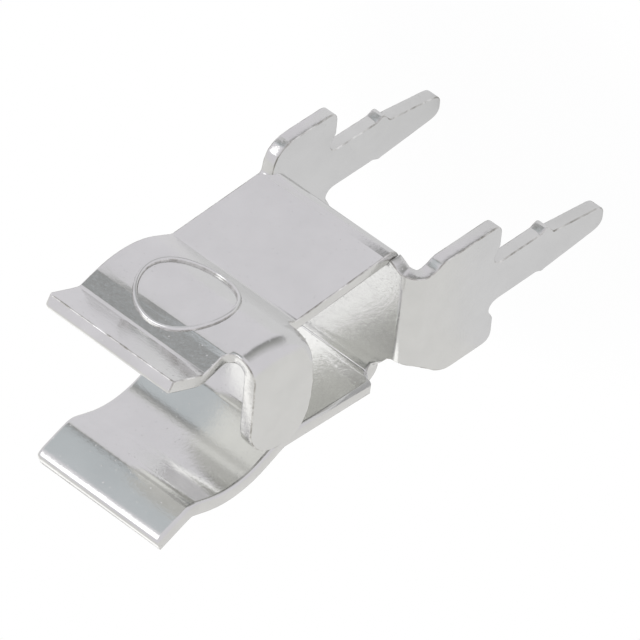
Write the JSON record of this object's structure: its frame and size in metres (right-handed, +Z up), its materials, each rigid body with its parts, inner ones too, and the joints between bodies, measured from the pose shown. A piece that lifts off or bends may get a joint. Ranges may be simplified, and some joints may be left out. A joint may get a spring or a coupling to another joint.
{
  "type": "pcb fuse clip",
  "caption": "One-piece tin-plated sheet-metal fuse clip for a circuit board: spring jaws with flared lips, an end stop, and folded legs with shoulders and solder pins.",
  "frame": {"origin": "on the board's top face, midway between the two solder pins, below the fuse axis", "axes": "+X along the fuse towards its end stop, +Y across the jaws towards the arm that carries the stop, +Z up from the board"},
  "size_m": [0.0066, 0.0062, 0.0162],
  "materials": {
    "tin_plate": "bright tin plate over a copper alloy sheet"
  },
  "bodies": {
    "root": {"fuse_clip": "tin_plate"}
  },
  "joints": []
}
